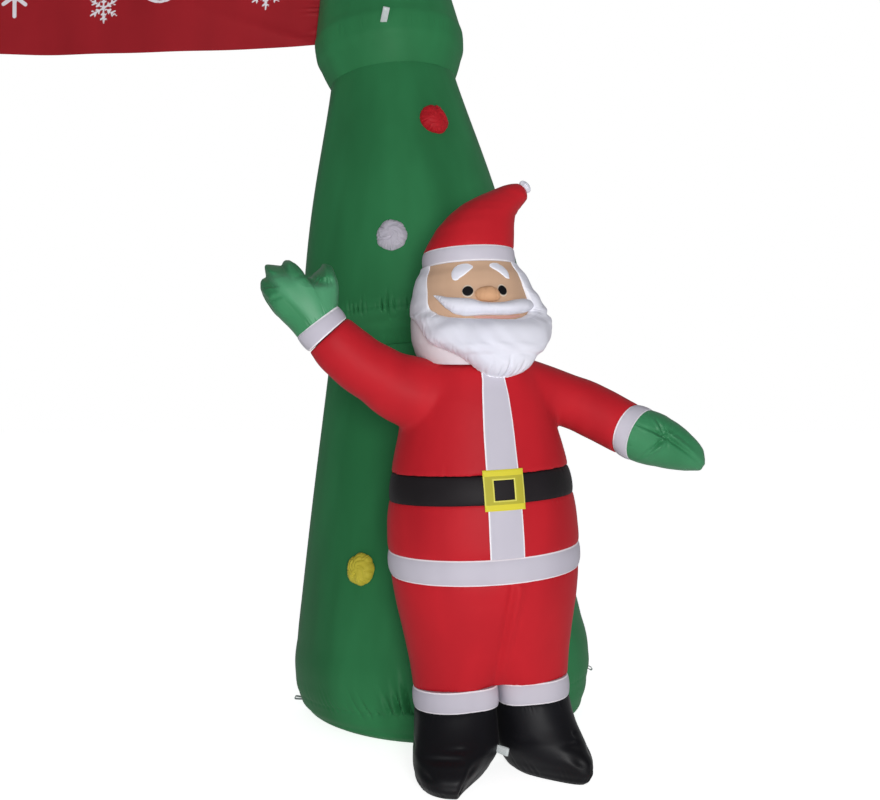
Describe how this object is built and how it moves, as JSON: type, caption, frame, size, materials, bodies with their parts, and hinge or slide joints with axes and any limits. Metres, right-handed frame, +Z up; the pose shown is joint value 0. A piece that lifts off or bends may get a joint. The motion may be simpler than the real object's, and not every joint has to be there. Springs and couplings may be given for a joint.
{
  "type": "inflatable arch",
  "caption": "Walk-through inflatable arch: leaning tiered fir trees joined by a banner, with a waving Father Christmas figure in front of one leg.",
  "frame": {"origin": "on the ground, under the middle of the whole object's box", "axes": "+X from the left-hand tree to the right-hand one as its front is looked at, +Y from the front to the back, +Z up"},
  "size_m": [4.1348, 1.3616, 3.1905],
  "materials": {
    "green_nylon": "thin coated taffeta, drawn tight by the air inside, soft sheen",
    "red_nylon": "thin coated taffeta, drawn tight by the air inside, soft sheen",
    "white_nylon": "thin coated taffeta, slightly see-through, soft sheen",
    "black_nylon": "thin coated taffeta, matt",
    "mitten_green_nylon": "thin coated taffeta, lighter green, soft sheen",
    "skin_nylon": "thin coated taffeta, matt",
    "lip_nylon": "thin coated taffeta, matt",
    "yellow_nylon": "thin taffeta, slightly see-through",
    "white_webbing": "woven polyester tape, matt"
  },
  "bodies": {
    "root": {"banner": "red_nylon", "beard": "white_nylon", "belt": "black_nylon", "boot_left": "black_nylon", "boot_loop": "white_webbing", "boot_right": "black_nylon", "brow_left": "white_nylon", "brow_right": "white_nylon", "buckle": "yellow_nylon", "coat_hem": "white_nylon", "coat_skirt": "red_nylon", "coat_upper": "red_nylon", "eye_left": "black_nylon", "eye_right": "black_nylon", "face": "skin_nylon", "hat": "red_nylon", "hat_band": "white_nylon", "hat_tip": "white_nylon", "head": "white_nylon", "left_loop_inner": "white_webbing", "left_loop_outer": "white_webbing", "left_loop_upper": "white_webbing", "left_puff_red": "red_nylon", "left_puff_white": "white_nylon", "left_puff_yellow": "yellow_nylon", "left_tree_lower": "green_nylon", "left_tree_middle": "green_nylon", "left_tree_upper": "green_nylon", "mitten_low": "mitten_green_nylon", "mitten_raised": "mitten_green_nylon", "moustache": "white_nylon", "mouth": "lip_nylon", "nose": "skin_nylon", "placket_lower": "white_nylon", "placket_upper": "white_nylon", "right_loop_inner": "white_webbing", "right_loop_outer": "white_webbing", "right_loop_upper": "white_webbing", "right_puff_red": "red_nylon", "right_puff_white": "white_nylon", "right_puff_yellow": "yellow_nylon", "right_tree_lower": "green_nylon", "right_tree_middle": "green_nylon", "right_tree_upper": "green_nylon", "sleeve_cuff_low": "white_nylon", "sleeve_cuff_raised": "white_nylon", "trouser_cuff_left": "white_nylon", "trouser_cuff_right": "white_nylon", "trousers": "red_nylon"}
  },
  "joints": []
}
